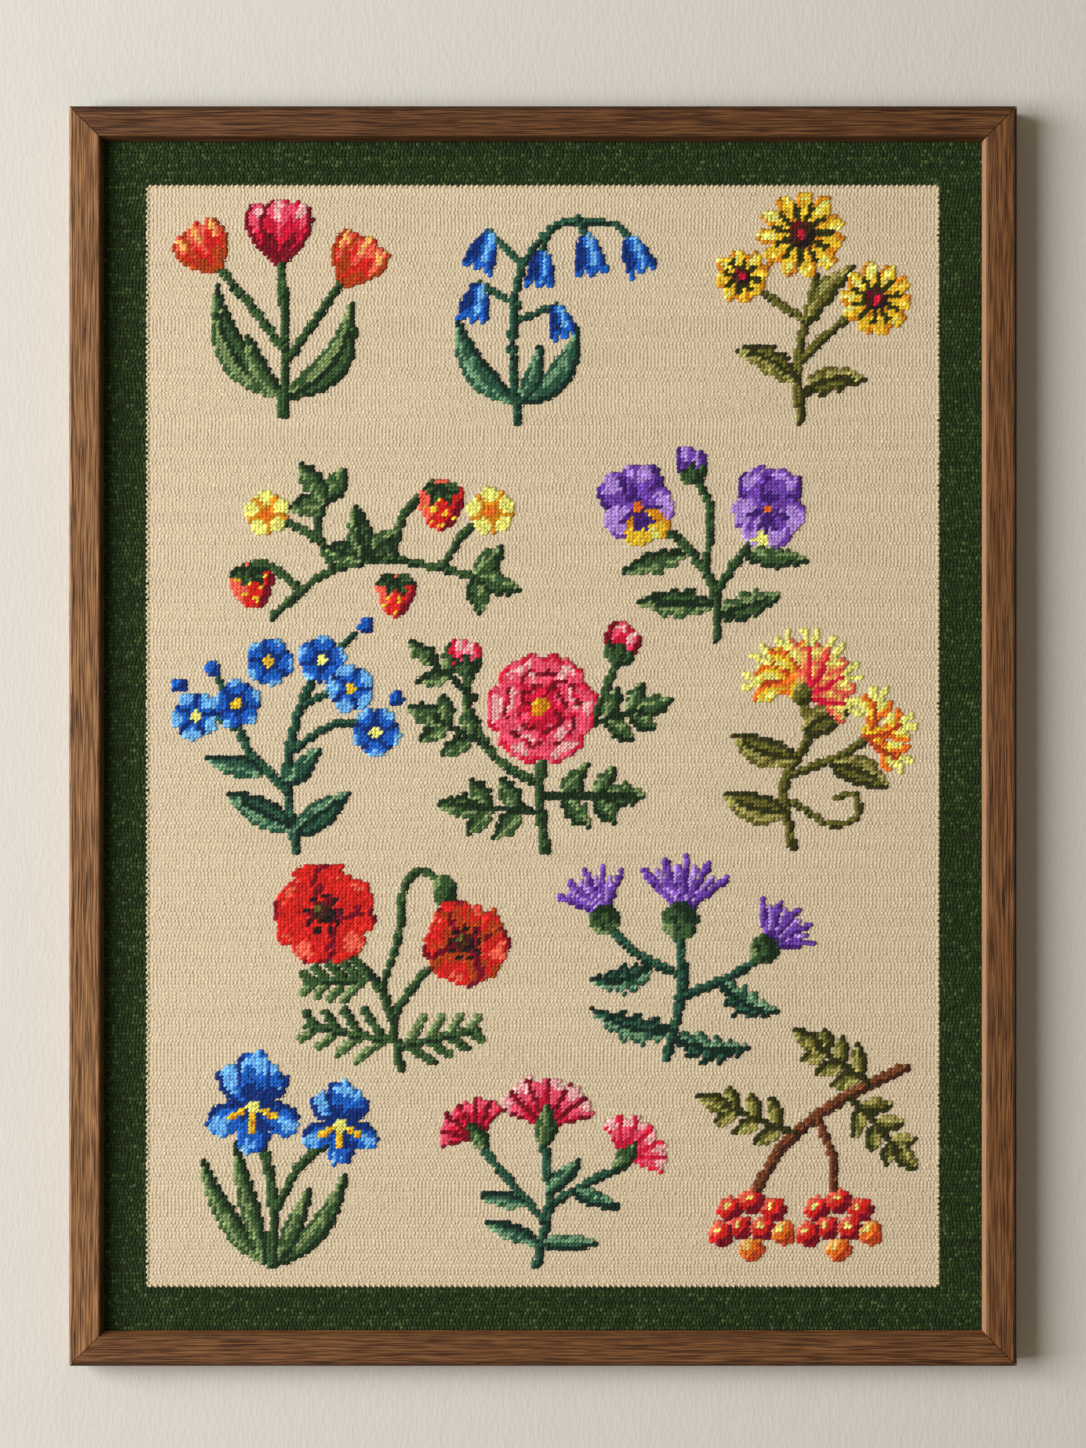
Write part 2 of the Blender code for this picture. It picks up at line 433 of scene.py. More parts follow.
# %% Spreading sprigs
def strawberry(s, at, turn, size=1.0):
    out, x, y = s.oval(at, 3.9 * size, 4.5 * size, turn + 90)
    fruit = np.hypot(x * (1 - 0.32 * y), y) <= 1
    s.shade(fruit, 0.6 - 0.4 * x + 0.25 * y, REDS)
    s.stitch(fruit & ((np.floor(s.u) + 2 * np.floor(s.v)) % 5 == 0) & (out < 0.85), "yellow")
    cap = at - 3.7 * size * towards(turn)
    for lean in (-75, -28, 28, 75):
        s.leaf(cap, cap + 3.8 * towards(turn + lean), 1.9, GREENS[:2])


def strawberries(s):
    runners = (((-20, 1), (-9, 8), (3, 9), (19, 4)), ((-8, 8.5), (-10, 16), (-8, 22)),
               ((3, 9), (6, 17), (12, 22)), ((12, 6.8), (17, 13), (21, 14)),
               ((-14, 5), (-19, 10), (-22, 11)), ((-10, 14), (-14, 17), (-18, 18)))
    for points in runners:
        s.stem(points, 1.25)
    for at, turn, size in (((-2, 10), 95, 1.0), ((-8, 21), 118, 0.9), ((18, 4.5), -25, 0.9)):
        for lean, long in ((-66, 8.0), (66, 8.0), (0, 9.6)):
            s.leaf(at, at + long * size * towards(turn + lean), 4.9 * size, GREENS, teeth=4, depth=0.3)
    for at, turn, size in (((13, 18), 262, 1.0), ((-23, 7), 275, 0.95), ((3, 2.5), 264, 0.85)):
        strawberry(s, at, turn, size)
    for at, r in (((22, 16), 1.9), ((-19, 20), 1.8)):
        eye_flower(s, at, ("gold", "primrose", "primrose"), "orange", "gold", r)


def pansy(s, at, turn, back, front):
    for angle in (118, 62):
        s.petal(at, angle + turn, 8.2, 7.6, back, side=1 if angle > 90 else -1, wave=0.08)
    for angle in (194, -14):
        s.petal(at, angle + turn, 6.8, 6.2, back[1:] + back[2:], wave=0.08)
    s.petal(at, 270 + turn, 7.2, 8.6, front, notch=0.12)
    for angle in (246, 270, 294, 198, -18):
        s.stem([at, at + 3.8 * towards(angle + turn)], 0.95, ("plum",))
    s.disc(at, 0.9, yarns=("orange",))


def pansies(s):
    s.stems(GREENS, (1.5, (0, -3), (1, 6), (-3, 15), (-10, 22)), (1.3, (1, 5), (8, 12), (13, 17)),
            (1.2, (0, 9), (3, 20), (1, 27)))
    s.leaves(GREENS, (5.8, 0, (0.5, 3), (-13, 6)), (5.6, 0, (1, 1), (13, 2.5)),
             (4.6, 0, (-3, 13), (-15, 12)), (4.6, 0, (8, 11), (19, 8)), teeth=4)
    pansy(s, (-10, 23), 12, PURPLES, GOLDS)
    pansy(s, (13.5, 18.5), -14, PURPLES, ("violet", "lilac", "primrose"))
    bud(s, (1, 25.5), 88, PURPLES)


def forget_me_nots(s):
    s.stems(BLUE_GREENS, (1.5, (0, -3), (0, 10), (3, 20), (8, 29)), (1.3, (0, 8), (-6, 16), (-8, 25)),
            (1.2, (1.5, 15), (10, 19), (17, 18)))
    s.leaves(BLUE_GREENS, (5.0, 0, (0, 1), (-11, 9)), (4.8, 0, (0, 0), (11, 6)), (3.4, 0, (0, 9), (7, 15)),
             (3.8, 0, (-4, 12), (-14, 16)))
    s.stems(BLUE_GREENS, (1.0, (-7, 20), (-12, 24), (-16, 24)), (1.0, (-8, 25), (-10, 31)),
            (1.0, (4, 23), (14, 26)), (1.0, (8, 29), (16, 35)))
    for k, at in enumerate(((-7, 25), (-15, 24), (0, 32), (9.5, 31), (14, 25), (17.5, 16.5))):
        eye_flower(s, at, BLUES[k % 3 % 2:], ("yellow", "primrose")[k % 2], "navy", turn=90 + 20 * k)
    for at in ((-10.5, 32), (-17, 30), (18.5, 36), (22, 22)):
        s.disc(at, 1.35, yarns=BLUES[:2])


def rose_sprig(s):
    s.stems(GREENS, (1.7, (1, -6), (0, 5), (1, 14), (0, 20)), (1.4, (0, 6), (-8, 11), (-13, 20), (-13, 26)),
            (1.4, (1, 12), (9, 17), (14, 28)))
    ribs = (((0.5, 1), (-12, 2), 1.0, 2), ((0.5, 4), (13, 4), 1.0, 2), ((-9, 13), (-19, 18), 0.9, 2),
            ((9, 17), (19, 20), 0.9, 2), ((-12, 22), (-20, 29), 0.8, 1))
    for root, tip, size, pairs in ribs:
        leaflets(s, root, tip, size=size, pairs=pairs)
    centre = (0.5, 20)
    rings = ((6, 10.4, 9.8, 60, ("crimson", "rose", "rose", "blush")), (5, 7.4, 7.6, 95, PINKS),
             (4, 4.8, 5.2, 30, PINKS[:3]))
    for count, reach, width, start, shades in rings:
        for k in range(count):
            s.petal(centre, start + 360 * k / count, reach, width, shades, wave=0.08, streaks=0.22, rim=0.6)
    s.disc(centre, 2.0, yarns=("crimson", "gold", "yellow"))
    bud(s, (-13, 26), 96, PINKS[1:])
    bud(s, (14, 28), 72, PINKS, 1.15)


# %% [markdown]
# ## The loose sprigs
# The last four hang or sprawl: honeysuckle, poppies, thistles and a rowan branch with its berries.

# %% Loose sprigs
def trumpet(s, at, turn, yarns, size=1.0):
    """A long narrow tube that opens in two lips, with threads in its mouth."""
    ahead, aside = towards(turn), towards(turn + 90)
    mouth = at + 6.4 * size * ahead
    for hand in (-0.6, 0.6):
        s.stem([mouth, mouth + 4.6 * size * ahead + hand * 2 * aside], 0.9, yarns[3:])
    for hand in (-1, 1):
        lip = mouth + 2.4 * size * ahead + hand * 3.6 * size * aside
        s.leaf(mouth - 1.4 * ahead, lip, 2.9 * size, yarns[1:])
    s.leaf(at - ahead, mouth + 1.6 * ahead, 2.5 * size, yarns[:3])


def honeysuckle(s):
    s.stems(OLIVES, (1.5, (2, -4), (-1, 7), (2, 16), (0, 24)), (1.3, (0, 9), (9, 14), (13, 18)),
            (0.95, (1, 4), (8, 1), (13, 3), (12, 7), (9, 6)))
    s.leaves(OLIVES, (5.2, 0.08, (0, 2), (-12, 4)), (5.2, 0.08, (0.5, 12), (-12, 15)),
             (5.2, 0.08, (7, 12), (18, 9)), (5.2, 0.08, (1, 17), (9, 22)))
    ambers = ("rust", "orange", "yellow", "primrose")
    corals = ("crimson", "coral", "apricot", "primrose")
    for k, turn in enumerate((-8, 178, 28, 146, 62, 118, 90)):
        trumpet(s, (0, 24.5), turn, ambers if k % 2 else corals)
    for turn in (-30, 84, 26):
        trumpet(s, (13, 18), turn, ambers, 0.8)
    s.disc((0, 24), 1.9, yarns=OLIVES)


def poppy(s, at, size, start, yarns):
    for angle in (start + 90, start + 270, start, start + 180):
        s.petal(at, angle, 9.4 * size, 12.4 * size, yarns, side=1 if angle % 180 else -1, wave=0.16)
    for k in range(9):
        s.dot(at + 3.2 * size * towards(40 * k), 0.55, "ink")
    s.disc(at, 2.0 * size, yarns=("ink", "bark", "olive"))


def poppies(s):
    s.stems(GREENS, (1.45, (0, -4), (-1, 9), (-6, 18), (-9, 25)), (1.3, (-0.5, 5), (6, 12), (13, 16)),
            (1.1, (-1.5, 11), (3, 20), (5, 28), (8.5, 31.5), (12, 29)))
    feather(s, (-0.5, 1), (-16, 6), 10)
    feather(s, (0, 0), (15, 1), 9)
    feather(s, (-3.5, 13), (-15, 14), 8)
    poppy(s, (-10, 26), 1.0, 45, ("wine", "scarlet", "scarlet", "coral"))
    poppy(s, (15, 17), 0.84, 62, ("wine", "rust", "scarlet", "coral"))
    s.disc((12.4, 27), 2.1, 3.1, yarns=GREENS)
    s.dot((12.6, 24.3), 1.4, "scarlet", 1.1)


def thistle(s, at, turn, size):
    top = at + 3.4 * size * towards(turn)
    for lean in range(-48, 49, 12):
        tuft = PURPLES[1:] if abs(lean) in (12, 36) else PURPLES[:2]
        long = 9.2 if lean % 24 == 0 else 7.6
        s.stem([top, top + long * size * towards(turn + lean)], 1.3, tuft, 0.8)
    cup = at + 2 * size * towards(turn)
    s.disc(cup, 3.2 * size, 2.9 * size, turn, GREENS)
    for spot in ((-1.2, 0.2), (1.2, 0.2), (0, 1.8), (0, -1.5)):
        s.dot(cup + spot, 0.6, "forest")


def thistles(s):
    s.stems(BLUE_GREENS, (1.6, (0, -4), (1, 9), (-1, 19)), (1.4, (0.5, 7), (9, 12), (14, 16)),
            (1.4, (1, 11), (-8, 14), (-14, 18)))
    s.leaves(BLUE_GREENS, (6.2, 0.1, (0.5, 1), (-15, 3)), (6.2, -0.1, (0.5, 0), (15, 0)),
             (6.2, 0.1, (-5, 12), (-16, 8)), (6.2, -0.12, (8, 11), (19, 7)), teeth=5, depth=0.62)
    for at, turn, size in (((-1, 19), 92, 1.1), ((14, 16.5), 58, 0.88), ((-14, 18), 120, 0.88)):
        thistle(s, at, turn, size)


def rowan(s):
    s.stems(("bark", "chestnut"), (1.8, (18, 30), (6, 24), (-4, 16), (-9, 8)),
            (1.4, (2, 21), (5, 13), (5, 8)))
    for root, tip in (((12, 27), (2, 34)), ((8, 25), (17, 15)), ((-2, 18), (-15, 23))):
        leaflets(s, root, tip, OLIVES, pairs=3, size=0.82, width=3.2, teeth=0)
    bunch = ((0, 2.6), (-4.0, 1.2), (4.0, 1.0), (-2.1, -2.2), (2.1, -2.4), (-5.6, -3.4), (0, -6.2),
             (5.8, -3.2))
    for x, y in ((-10, 3), (6, 3)):
        for du, dv in bunch:
            unripe = du > 5 or dv < -6
            berry(s, (x + du, y + dv), ("rust", "orange", "apricot") if unripe else REDS)


# %% [markdown]
# ## Place the sprigs
# Thirteen sprigs stand in five rows of three and two. Some lean, so that the sampler looks scattered and
# not ranked. Each line gives the foot of the stem in units, and the lean in degrees.

# %% Place the sprigs
PLACES = (
    ("tulips", tulips, 33, 171, 0), ("bluebells", bluebells, 76, 171, 0),
    ("coneflowers", coneflowers, 128, 170, -4),
    ("strawberries", strawberries, 51, 132, 6), ("pansies", pansies, 112, 130, 10),
    ("forget_me_nots", forget_me_nots, 35, 91, 8), ("rose", rose_sprig, 80, 94, 0),
    ("honeysuckle", honeysuckle, 125, 93, -8),
    ("poppies", poppies, 54, 52, 8), ("thistles", thistles, 104, 54, -8),
    ("irises", irises, 31, 15, 0), ("pinks", pinks, 80, 16, -6), ("rowan", rowan, 129, 18, 0),
)
for number, (name, draw, x, y, turn) in enumerate(PLACES, 1):
    draw(Sprig(number, x, y, turn))
    print(name, int((sprig_at == number).sum()), "stitches")

# %% [markdown]
# ## How a stitch is built
# A tent stitch crosses one thread crossing from its lower left to its upper right. It could be a bump in
# the finish alone, but then the cloth would look printed from the side. So every stitch is real geometry.
# Millions of faces would be too many, so each strand of yarn is one small closed pillow: a rim that sinks
# into the canvas and a crown. The sprigs' pillows have a ridge with a little twist. Smooth shading rounds
# them.

# %% Two pillow shapes for strands
# Each point is: place along the strand, place across it, and height, in shares of its size
GROUND_RIM = [(-0.5, 0), (-0.27, -0.5), (0.27, -0.5), (0.5, 0), (0.27, 0.5), (-0.27, 0.5)]
GROUND_CROWN = [(0.05, -0.05, 1)]
GROUND_FACES = [(0, 5, 4, 3, 2, 1), (0, 1, 6), (1, 2, 6), (2, 3, 6), (3, 4, 6), (4, 5, 6), (5, 0, 6)]
MOTIF_RIM = [(-0.5, -0.18), (-0.24, -0.5), (0.24, -0.5), (0.5, -0.18),
             (0.5, 0.18), (0.24, 0.5), (-0.24, 0.5), (-0.5, 0.18)]
MOTIF_CROWN = [(-0.22, -0.06, 1), (0.22, 0.06, 1)]
MOTIF_FACES = [
    (0, 7, 6, 5, 4, 3, 2, 1),
    (0, 1, 8), (1, 2, 9, 8), (2, 3, 9), (3, 4, 9), (4, 5, 9), (5, 6, 8, 9), (6, 7, 8), (7, 0, 8),
]


def pillow(rim, crown):
    return np.array([(u, v, 0.0) for u, v in rim] + crown)


GROUND = (pillow(GROUND_RIM, GROUND_CROWN), GROUND_FACES)
MOTIF = (pillow(MOTIF_RIM, MOTIF_CROWN), MOTIF_FACES)
for title, (points, faces) in (("ground", GROUND), ("motif", MOTIF)):
    print(title, "strand:", len(points), "points,", sum(len(face) - 2 for face in faces), "triangles")

# %% [markdown]
# ## Many strands as one joined mesh
# Thousands of separate objects would be slow, so numpy copies the pillow to every place at once and the
# result goes into one mesh. The bottoms come first in the face list, because the map for the bake looks
# straight at the cloth and the fronts must win there. The yarn's colour is stored on the mesh points.

# %% Many strands as one joined mesh
def linear(colour):
    """Linear light from values of 0 to 255."""
    c = np.asarray(colour, float) / 255
    return np.where(c <= 0.04045, c / 12.92, ((c + 0.055) / 1.055) ** 2.4)


WOOL_LIFT = 1.22
YARN_LIGHT = np.clip(np.array([linear(c) for c in YARNS.values()]) * WOOL_LIFT, 0, 0.93)


def front_map(mesh, points, corners):
    """A map that looks straight at the cloth, for the bake."""
    low, high = points.min(0), points.max(0)
    flat = (points - low) / (high - low)
    layer = mesh.uv_layers.new(name="OFBake")
    layer.uv.foreach_set("vector", flat[corners][:, (0, 2)].astype(np.float32).ravel())


def strands(name, shape, x, z, size, slant, colour, base_y, flat_bottoms=False):
    """Builds strands at x, z. size is length, width and height; slant is in radians from upright."""
    points, faces = shape
    u = points[:, 0] * size[:, 0:1]
    v = points[:, 1] * size[:, 1:2]
    sin, cos = np.sin(slant)[:, None], np.cos(slant)[:, None]
    place = np.stack([
        x[:, None] + sin * u + cos * v,
        base_y - points[:, 2] * size[:, 2:3],
        z[:, None] + cos * u - sin * v,
    ], axis=-1).reshape(-1, 3)
    first = (np.arange(len(x)) * len(points))[:, None]
    loops, lengths = [], []
    for group in (faces[:1], faces[1:]):
        pattern = np.concatenate(group)
        loops.append((first + pattern).ravel())
        lengths.append(np.tile([len(face) for face in group], len(x)))
    corners, sizes = np.concatenate(loops), np.concatenate(lengths)
    mesh = bpy.data.meshes.new(name)
    mesh.vertices.add(len(place))
    mesh.vertices.foreach_set("co", place.astype(np.float32).ravel())
    mesh.loops.add(len(corners))
    mesh.loops.foreach_set("vertex_index", corners.astype(np.int32))
    mesh.polygons.add(len(sizes))
    starts = np.concatenate([[0], np.cumsum(sizes)[:-1]])
    mesh.polygons.foreach_set("loop_start", starts.astype(np.int32))
    mesh.update(calc_edges=True)
    mesh.validate()
    yarn = mesh.color_attributes.new("yarn", "FLOAT_COLOR", "POINT")
    shades = np.ones((len(x), len(points), 4), np.float32)
    shades[:, :, :3] = colour[:, None]
    yarn.data.foreach_set("color", shades.ravel())
    front_map(mesh, place, corners)
    # The bottoms are flat, so that the fronts are shaded by their own slopes alone
    rounded = np.arange(len(sizes)) >= len(x) * flat_bottoms
    mesh.polygons.foreach_set("use_smooth", rounded)
    piece = bpy.data.objects.new(name, mesh)
    bpy.context.scene.collection.objects.link(piece)
    return piece


# %% [markdown]
# ## The ground and the border
# In the photo the ground is a close, even grain in which no columns stand out. So its strands are low and
# lie well over, and each row starts a little to one side. A row is filled run by run between the flowers,
# so the strands always meet the motifs' edges. A new length of yarn starts every few dozen stitches, and
# its shade differs a little. The green is livelier: most strands are dark and a few are light flecks.
# The cream's edge stands over the green in a row of larger beads, ten to the inch. They are made on their
# own, along the four sides of the field.

# %% Work the ground and the border
rng = np.random.default_rng(15)
# The strands' feet lie this far behind the front of the plain cloth, so their crowns are near its front
CANVAS_Y = CLOTH_LOW.y + 0.00105
GROUND_HEIGHT = 0.00028
BORDER_HEIGHT = 0.00056
BEAD_HEIGHT = 0.00100
GROUND_LENGTH = 1.60 * STITCH
GROUND_PLUMP = 1.34
GROUND_SLANT = math.radians(62)
BORDER_SLANT = math.radians(66)
# How far a whole row starts to one side and a run spreads under a motif, in stitches
ROW_SHIFT, TUCK = 0.45, 0.4
# How far a strand strays sideways and upward, and with its row, in metres
STRAY_X, STRAY_Z, ROW_STRAY = 0.00010, 0.00014, 0.00004
BEAD_PITCH = INCH / 10
BEAD_INSET = 0.0003
YARN_LENGTH = 60
PALE_FIBRES = 0.014


def varied(spread, count, least=0.5, most=1.5):
    """Shares near 1 that differ a little from strand to strand."""
    return rng.normal(1, spread, count).clip(least, most)


def tinted(yarn, tone):
    """A yarn's colour times a tone for each strand, and a little greyer where it is lighter."""
    return YARN_LIGHT[yarn] * tone + PALE_FIBRES * (tone - 1).clip(0)


def runs_in(line):
    """Start, end and value of each stretch of equal numbers."""
    edges = np.flatnonzero(np.diff(line)) + 1
    starts = np.concatenate([[0], edges])
    ends = np.concatenate([edges, [len(line)]])
    return [(a, b, line[a]) for a, b in zip(starts, ends)]


# One hidden row of green all round goes under the frame's lip
wide_chart = np.pad(chart, 1, constant_values=YARN_NUMBER["border"])
wide_sprigs = np.pad(sprig_at, 1)
marks = np.where(wide_sprigs > 0, -1, wide_chart)
filled = {YARN_NUMBER["cream"]: [], YARN_NUMBER["border"]: []}
for j, line in enumerate(marks):
    runs = runs_in(line)
    for k, (start, end, yarn) in enumerate(runs):
        if yarn < 0:
            continue
        count = end - start
        low = start - TUCK * (k > 0 and runs[k - 1][2] < 0)
        high = end + TUCK * (k + 1 < len(runs) and runs[k + 1][2] < 0)
        pitch = (high - low) / count
        filled[yarn] += [(low + pitch * (n + 0.5), j + 0.5, pitch) for n in range(count)]
ground = {name: np.array(filled[YARN_NUMBER[name]]) for name in ("cream", "border")}


def yarn_shades(name, spots, spread, length_spread):
    """A colour for each strand. Lengths of yarn differ a little, and a few strands are much lighter."""
    lengths = spots[:, 1].astype(int) * 9 + (spots[:, 0] + 13 * spots[:, 1] % YARN_LENGTH) // YARN_LENGTH
    by_length = rng.normal(0, length_spread, 10 * HIGH)[lengths.astype(int)]
    tone = 1 + by_length + spread * (rng.exponential(1.0, len(spots)) - 1)
    return tinted(YARN_NUMBER[name], tone[:, None].clip(0.4, 2.2))


def work_ground(piece_name, name, spots, height, lean, spread, length_spread):
    count = len(spots)
    line = spots[:, 1].astype(int)
    row_shift = rng.uniform(-ROW_SHIFT, ROW_SHIFT, HIGH + 2)[line]
    x = LEFT + (spots[:, 0] - 1 + row_shift) * STITCH + rng.normal(0, STRAY_X, count)
    row_stray = rng.normal(0, ROW_STRAY, HIGH + 2)[line]
    z = BOTTOM + (spots[:, 1] - 1) * STITCH + row_stray + rng.normal(0, STRAY_Z, count)
    size = np.column_stack([
        GROUND_LENGTH * varied(0.09, count),
        spots[:, 2] * STITCH * rng.normal(GROUND_PLUMP, 0.10, count),
        height * varied(0.16, count, 0.55, 1.2),
    ])
    slant = rng.normal(lean, 0.28, count)
    shades = yarn_shades(name, spots, spread, length_spread)
    return strands(piece_name, GROUND, x, z, size, slant, shades, CANVAS_Y, name == "cream")


def edge_beads():
    """The larger beads along the four sides of the cream field."""
    edge = BORDER * STITCH + BEAD_INSET
    left, right = LEFT + edge, LEFT + WIDE * STITCH - edge
    low, high = BOTTOM + edge, BOTTOM + HIGH * STITCH - edge
    across = np.linspace(left, right, round((right - left) / BEAD_PITCH) + 1)
    upward = np.linspace(low, high, round((high - low) / BEAD_PITCH) + 1)
    across, upward = (across[:-1] + across[1:]) / 2, (upward[:-1] + upward[1:]) / 2
    x = np.concatenate([np.full(len(upward), left), np.full(len(upward), right), across, across])
    z = np.concatenate([upward, upward, np.full(len(across), low), np.full(len(across), high)])
    upright = np.arange(len(x)) < 2 * len(upward)
    count = len(x)
    size = np.column_stack([
        np.where(upright, 0.70, 0.80) * BEAD_PITCH * varied(0.05, count),
        np.where(upright, 0.86, 0.70) * BEAD_PITCH * varied(0.05, count),
        BEAD_HEIGHT * varied(0.08, count, 0.8, 1.05),
    ])
    shades = YARN_LIGHT[YARN_NUMBER["cream"]] * varied(0.05, count)[:, None]
    return strands("edge_beads", MOTIF, x, z, size, rng.normal(0.1, 0.1, count), shades, CANVAS_Y)


stitched = []
FIELDS = 3
for k in range(FIELDS):
    low, high = (HIGH + 2) * k / FIELDS, (HIGH + 2) * (k + 1) / FIELDS
    spots = ground["cream"]
    spots = spots[(spots[:, 1] >= low) & (spots[:, 1] < high)]
    stitched.append(work_ground(
        f"ground_stitches_{k + 1}", "cream", spots, GROUND_HEIGHT, GROUND_SLANT, 0.030, 0.015
    ))
stitched.append(work_ground(
    "border_stitches", "border", ground["border"], BORDER_HEIGHT, BORDER_SLANT, 0.33, 0.06
))
stitched.append(edge_beads())
for piece in stitched:
    print(piece.name, sum(len(p.vertices) - 2 for p in piece.data.polygons), "triangles")

# %% [markdown]
# ## The sprigs' stitches
# The motifs stand higher than the ground, because they are worked first, in a thicker yarn. Each stitch is
# a plump grain at 45 degrees. Lines of stitches that climb to the right run together like a rope, and lines
# that fall to the right look like beads, as in the photo.

# %% Work the sprigs
MOTIF_HEIGHT = 0.00132
MOTIF_LENGTH = 1.85 * STITCH
MOTIF_WIDTH = 1.50 * STITCH
MOTIF_SLANT = math.radians(45)
MOTIF_STRAY = 0.00011
MOTIF_SPREAD = 0.17
for number, (name, *_) in enumerate(PLACES, 1):
    rows, columns = np.nonzero(sprig_at == number)
    count = len(rows)
    x = LEFT + (columns + 0.5) * STITCH + rng.normal(0, MOTIF_STRAY, count)
    z = BOTTOM + (rows + 0.5) * STITCH + rng.normal(0, MOTIF_STRAY, count)
    size = np.column_stack([
        MOTIF_LENGTH * varied(0.07, count),
        MOTIF_WIDTH * varied(0.09, count),
        MOTIF_HEIGHT * varied(0.12, count, 0.7, 1.2),
    ])
    slant = rng.normal(MOTIF_SLANT, 0.16, count)
    tone = 1 + MOTIF_SPREAD * (rng.exponential(1.0, count)[:, None] - 1).clip(-1, 3)
    shades = tinted(chart[rows, columns], tone)
    stitched.append(strands(f"{name}_sprig", MOTIF, x, z, size, slant, shades, CANVAS_Y))
print("strand pieces:", len(stitched))

# %% [markdown]
# ## The canvas under the stitches
# The canvas is the sheet that everything is worked on. Here it is one closed slab with a face for every
# two by two threads, coloured with painted shade: the small gaps between stitches show a darker copy of the
# yarn round them, as holes in shade, and not bare cotton. Its size is the cut cloth's: the opening and 4 mm
# more under the lip on each side.

# %% Stretch the canvas
CANVAS_FRONT = CANVAS_Y - 0.00012
# The gaps' painted shade, as a share of the yarn round them
PAINTED_GAP_SHADE = {"cream": 0.92, "border": 0.30}
PAINTED_MOTIF_GAP_SHADE = 0.36
BLOCK = 2


def block_edges(count):
    """Every second thread, and both edges of the cream field."""
    stops = (0, BORDER, count - BORDER, count)
    return np.concatenate([np.arange(a, b, BLOCK) for a, b in zip(stops, stops[1:])] + [[count]])


def slab(across, upward):
    """A grid of front points over a plain back, with the front faces first."""
    wide, high = len(across), len(upward)
    gx, gz = np.meshgrid(across, upward)
    front = np.stack([gx, np.full_like(gx, CANVAS_FRONT), gz], -1).reshape(-1, 3)
    number = np.arange(wide * high).reshape(high, wide)
    quads = np.stack([number[:-1, :-1], number[:-1, 1:], number[1:, 1:], number[1:, :-1]], -1)
    ring = np.concatenate([number[0, :-1], number[:-1, -1], number[-1, :0:-1], number[:0:-1, 0]])
    back = front[ring].copy()
    back[:, 1] = CLOTH_HIGH.y
    behind = wide * high + np.arange(len(ring))
    following = np.roll(np.arange(len(ring)), -1)
    sides = np.stack([ring, behind, behind[following], ring[following]], -1)
    faces = quads.reshape(-1, 4).tolist() + sides.tolist() + [behind[::-1].tolist()]
    return np.vstack([front, back]), faces


def painted_gap_shades(columns, rows):
    """The painted shade of the gaps in each block. A block that is only partly under a motif keeps the
    ground's.
    """
    first, last = chart[np.ix_(rows[:-1], columns[:-1])], chart[np.ix_(rows[1:] - 1, columns[1:] - 1)]
    under = np.where(last == YARN_NUMBER["cream"], last, first)
    under = np.pad(under, 1, constant_values=YARN_NUMBER["border"]).ravel()
    dim = np.full((len(under), 1), PAINTED_MOTIF_GAP_SHADE)
    for name, shade in PAINTED_GAP_SHADE.items():
        dim[under == YARN_NUMBER[name]] = shade
    return YARN_LIGHT[under] * dim


def canvas_sheet():
    columns, rows = block_edges(WIDE), block_edges(HIGH)
    across = np.concatenate([[CLOTH_LOW.x], LEFT + columns * STITCH, [CLOTH_HIGH.x]])
    upward = np.concatenate([[CLOTH_LOW.z], BOTTOM + rows * STITCH, [CLOTH_HIGH.z]])
    places, faces = slab(across, upward)
    mesh = bpy.data.meshes.new("canvas")
    mesh.from_pydata(places.tolist(), [], faces)
    # The canvas's colour is painted shade: each block of gaps takes a darker copy of its yarn
    shades = painted_gap_shades(columns, rows)
    colours = np.ones((len(mesh.loops), 4), np.float32)
    colours[:, :3] = YARN_LIGHT[YARN_NUMBER["border"]] * PAINTED_GAP_SHADE["border"]
    colours[:len(shades) * 4, :3] = shades.repeat(4, 0)
    mesh.color_attributes.new("yarn", "FLOAT_COLOR", "CORNER").data.foreach_set("color", colours.ravel())
    corners = np.zeros(len(mesh.loops), np.int32)
    mesh.loops.foreach_get("vertex_index", corners)
    front_map(mesh, places, corners)
    piece = bpy.data.objects.new("canvas", mesh)
    bpy.context.scene.collection.objects.link(piece)
    return piece


canvas = canvas_sheet()
total = sum(len(p.vertices) - 2 for piece in stitched + [canvas] for p in piece.data.polygons)
print("stitches and canvas:", total, "triangles")

# %% [markdown]
# ## Shader maths as plain expressions
# A finish is a tree of nodes. Writing every Math node by hand hides the idea, so one small class wraps a
# socket and turns plus, minus and times into nodes. Any other node comes from one method that takes its
# type, its settings and the values or links of its sockets.

# %% A small class for shader maths
class Wire:
    """One value in a finish. Sums and products with numbers or other wires add Math nodes."""

    def __init__(self, finish, socket):
        self.finish, self.socket = finish, socket

    def maths(self, operation, *values, clamp=False):
        settings = {"operation": operation, "use_clamp": clamp}
        return self.finish.node("ShaderNodeMath", settings, dict(enumerate(values)))

    def __add__(self, other):
        return self.maths("ADD", self, other)

    def __sub__(self, other):
        return self.maths("SUBTRACT", self, other)

    def __rsub__(self, other):
        return self.maths("SUBTRACT", other, self)

    def __mul__(self, other):
        return self.maths("MULTIPLY", self, other)

    __radd__, __rmul__ = __add__, __mul__

    def size(self):
        return self.maths("ABSOLUTE", self)

    def ramp(self, low, high):
        """0 below low and 1 above high, with a soft step between. low may be the larger."""
        if low > high:
            return 1 - self.ramp(high, low)
        settings = {"interpolation_type": "SMOOTHSTEP"}
        return self.finish.node("ShaderNodeMapRange", settings, {0: self, 1: low, 2: high})


